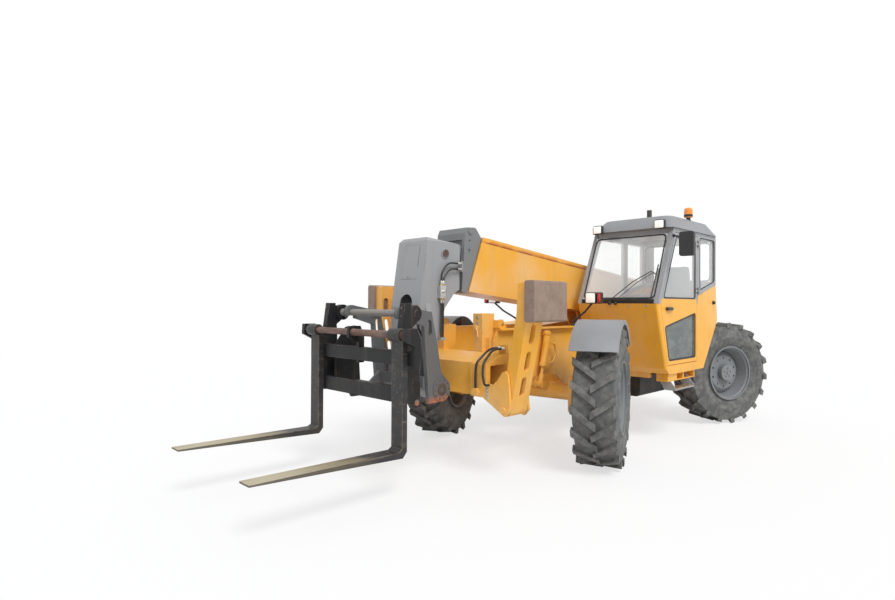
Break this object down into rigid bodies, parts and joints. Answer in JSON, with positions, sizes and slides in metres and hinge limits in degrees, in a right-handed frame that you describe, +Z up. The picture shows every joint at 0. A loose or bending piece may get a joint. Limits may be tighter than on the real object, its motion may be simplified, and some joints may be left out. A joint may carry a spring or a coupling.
{
  "type": "telescopic handler",
  "caption": "Wheeled telescopic handler with side cab, sliding boom, fork carriage, steered axles and swing-down front stabilizers.",
  "frame": {"origin": "on the ground at the centre of the overall box", "axes": "front faces -Y, the machine's left is +X, +Z is up"},
  "size_m": [2.82, 6.88, 2.76],
  "materials": {
    "yellow_paint": "worn gloss paint",
    "grey_paint": "satin paint",
    "black_paint": "worn satin paint",
    "rim_paint": "dusty satin paint",
    "dark_steel": "rough casting",
    "worn_steel": "bare, scuffed and rusty",
    "cast_grey": "rough casting",
    "chrome": "polished",
    "grey_plastic": "moulded, matte",
    "black_plastic": "moulded, matte",
    "cab_glass": "clear",
    "lamp_glass": "clear ribbed lens",
    "amber_lens": "amber lens",
    "seat_vinyl": "dark vinyl",
    "hose_rubber": "satin rubber",
    "tyre": "dusty tread"
  },
  "bodies": {
    "chassis": {"axle_front": "yellow_paint", "axle_rear": "yellow_paint", "beacon": "amber_lens", "cab_frame": "grey_paint", "cab_glass": "cab_glass", "cab_roof": "grey_plastic", "cab_shell": "yellow_paint", "engine_block": "cast_grey", "engine_hood": "yellow_paint", "exhaust": "dark_steel", "fluid_tank": "black_paint", "frame_hoses": "hose_rubber", "front_frame": "yellow_paint", "lamps": "lamp_glass", "levelling_cylinder": "yellow_paint", "main_frame": "yellow_paint", "mirror": "black_plastic", "seat": "seat_vinyl", "stabilizer_barrels": "yellow_paint", "steering_wheel": "black_plastic", "step": "grey_paint", "tail_weight": "yellow_paint"},
    "knuckle_front_left": {"knuckle_front_left": "dark_steel", "fender_front_left": "grey_plastic"},
    "wheel_front_left": {"rim_front_left": "rim_paint", "tyre_front_left": "tyre"},
    "knuckle_front_right": {"knuckle_front_right": "dark_steel", "fender_front_right": "grey_plastic"},
    "wheel_front_right": {"rim_front_right": "rim_paint", "tyre_front_right": "tyre"},
    "knuckle_rear_left": {"knuckle_rear_left": "dark_steel"},
    "wheel_rear_left": {"rim_rear_left": "rim_paint", "tyre_rear_left": "tyre"},
    "knuckle_rear_right": {"knuckle_rear_right": "dark_steel"},
    "wheel_rear_right": {"rim_rear_right": "rim_paint", "tyre_rear_right": "tyre"},
    "door": {"door": "yellow_paint", "door_glass": "cab_glass"},
    "boom_outer": {"boom_outer": "yellow_paint"},
    "boom_mid": {"boom_mid": "grey_paint", "head_pads": "black_plastic"},
    "boom_inner": {"boom_inner": "grey_paint", "neck_hoses": "hose_rubber"},
    "lift_barrel": {"lift_barrel": "yellow_paint"},
    "lift_rod": {"lift_rod": "chrome"},
    "tilt_barrel": {"tilt_barrel": "grey_paint"},
    "tilt_rod": {"tilt_rod": "chrome"},
    "carriage": {"hitch": "grey_paint", "carriage": "black_paint", "hitch_hoses": "hose_rubber"},
    "fork_left": {"fork_left": "black_paint"},
    "fork_right": {"fork_right": "black_paint"},
    "stabilizer_left": {"stabilizer_arm_left": "yellow_paint", "stabilizer_sole_left": "worn_steel"},
    "stabilizer_rod_left": {"stabilizer_rod_left": "chrome"},
    "stabilizer_right": {"stabilizer_arm_right": "yellow_paint", "stabilizer_sole_right": "worn_steel"},
    "stabilizer_rod_right": {"stabilizer_rod_right": "chrome"}
  },
  "joints": [
    {"name": "door_hinge", "type": "hinge", "parent": "chassis", "child": "door", "pos_m": [1.105, 1.662, 1.5], "axis": [0, 0, 1], "range_deg": [0, 90]},
    {"name": "steer_front_left", "type": "hinge", "parent": "chassis", "child": "knuckle_front_left", "pos_m": [0.879, -0.325, 0.63], "axis": [0, 0, 1], "range_deg": [-57, 13]},
    {"name": "roll_front_left", "type": "hinge", "parent": "knuckle_front_left", "child": "wheel_front_left", "pos_m": [0.99026, -0.28005, 0.63], "axis": [0.9272, 0.3746, 0], "continuous": true},
    {"name": "steer_front_right", "type": "hinge", "parent": "chassis", "child": "knuckle_front_right", "pos_m": [-0.879, -0.325, 0.63], "axis": [0, 0, 1], "range_deg": [-57, 13]},
    {"name": "roll_front_right", "type": "hinge", "parent": "knuckle_front_right", "child": "wheel_front_right", "pos_m": [-0.99026, -0.36995, 0.63], "axis": [0.9272, 0.3746, 0], "continuous": true},
    {"name": "steer_rear_left", "type": "hinge", "parent": "chassis", "child": "knuckle_rear_left", "pos_m": [0.879, 2.655, 0.63], "axis": [0, 0, 1], "range_deg": [-11.6, 58.4]},
    {"name": "roll_rear_left", "type": "hinge", "parent": "knuckle_rear_left", "child": "wheel_rear_left", "pos_m": [0.98913, 2.60734, 0.63], "axis": [0.9178, -0.3971, 0], "continuous": true},
    {"name": "steer_rear_right", "type": "hinge", "parent": "chassis", "child": "knuckle_rear_right", "pos_m": [-0.879, 2.655, 0.63], "axis": [0, 0, 1], "range_deg": [-11.6, 58.4]},
    {"name": "roll_rear_right", "type": "hinge", "parent": "knuckle_rear_right", "child": "wheel_rear_right", "pos_m": [-0.98913, 2.70266, 0.63], "axis": [0.9178, -0.3971, 0], "continuous": true},
    {"name": "boom_lift", "type": "hinge", "parent": "chassis", "child": "boom_outer", "pos_m": [-0.18, 3.07, 1.47], "axis": [-1, 0, 0], "range_deg": [-3, 60]},
    {"name": "boom_extend", "type": "slide", "parent": "boom_outer", "child": "boom_mid", "axis": [0, -0.9953, 0.0965], "range_m": [0, 2.2]},
    {"name": "boom_extend_inner", "type": "slide", "parent": "boom_mid", "child": "boom_inner", "axis": [0, -0.9953, 0.0965], "range_m": [0, 2.2]},
    {"name": "lift_barrel_pin", "type": "hinge", "parent": "chassis", "child": "lift_barrel", "pos_m": [-0.18, 2.52, 0.92], "axis": [-1, 0, 0], "range_deg": [-3.23, 64.57]},
    {"name": "lift_rod_slide", "type": "slide", "parent": "lift_barrel", "child": "lift_rod", "axis": [0, -0.9792, 0.2031], "range_m": [-0.04052, 0.79142]},
    {"name": "carriage_tilt", "type": "hinge", "parent": "boom_inner", "child": "carriage", "pos_m": [-0.18, -1.58, 0.74], "axis": [1, 0, 0], "range_deg": [-15, 60]},
    {"name": "tilt_barrel_pin", "type": "hinge", "parent": "boom_inner", "child": "tilt_barrel", "pos_m": [-0.18, -1.373, 1.936], "axis": [1, 0, 0], "range_deg": [-9.18, 2.3]},
    {"name": "tilt_rod_slide", "type": "slide", "parent": "tilt_barrel", "child": "tilt_rod", "axis": [0, -0.2681, -0.9634], "range_m": [-0.05387, 0.21249]},
    {"name": "fork_left_slide", "type": "slide", "parent": "carriage", "child": "fork_left", "axis": [1, 0, 0], "range_m": [-0.4, 0.035]},
    {"name": "stabilizer_left_swing", "type": "hinge", "parent": "chassis", "child": "stabilizer_left", "pos_m": [0.75, -1.29, 0.615], "axis": [0, 1, 0], "range_deg": [0, 105]},
    {"name": "stabilizer_left_push", "type": "slide", "parent": "chassis", "child": "stabilizer_rod_left", "axis": [0.9916, 0, -0.1296], "range_m": [-0.001, 0.28886]},
    {"name": "fork_right_slide", "type": "slide", "parent": "carriage", "child": "fork_right", "axis": [-1, 0, 0], "range_m": [-0.4, 0.035]},
    {"name": "stabilizer_right_swing", "type": "hinge", "parent": "chassis", "child": "stabilizer_right", "pos_m": [-0.75, -1.29, 0.615], "axis": [0, -1, 0], "range_deg": [0, 105]},
    {"name": "stabilizer_right_push", "type": "slide", "parent": "chassis", "child": "stabilizer_rod_right", "axis": [-0.9916, 0, -0.1296], "range_m": [-0.001, 0.28886]}
  ],
  "couplings": [
    {"joint": "steer_front_right", "follows": "steer_front_left", "ratio": 1},
    {"joint": "steer_rear_right", "follows": "steer_rear_left", "ratio": 1},
    {"joint": "boom_extend_inner", "follows": "boom_extend", "ratio": 1},
    {"joint": "lift_barrel_pin", "follows": "boom_lift", "ratio": 1.055},
    {"joint": "lift_rod_slide", "follows": "boom_lift", "m_per_rad": 0.74},
    {"joint": "tilt_barrel_pin", "follows": "carriage_tilt", "ratio": -0.15},
    {"joint": "tilt_rod_slide", "follows": "carriage_tilt", "m_per_rad": 0.198},
    {"joint": "stabilizer_left_push", "follows": "stabilizer_left_swing", "m_per_rad": 0.154},
    {"joint": "stabilizer_right_push", "follows": "stabilizer_right_swing", "m_per_rad": 0.154}
  ]
}
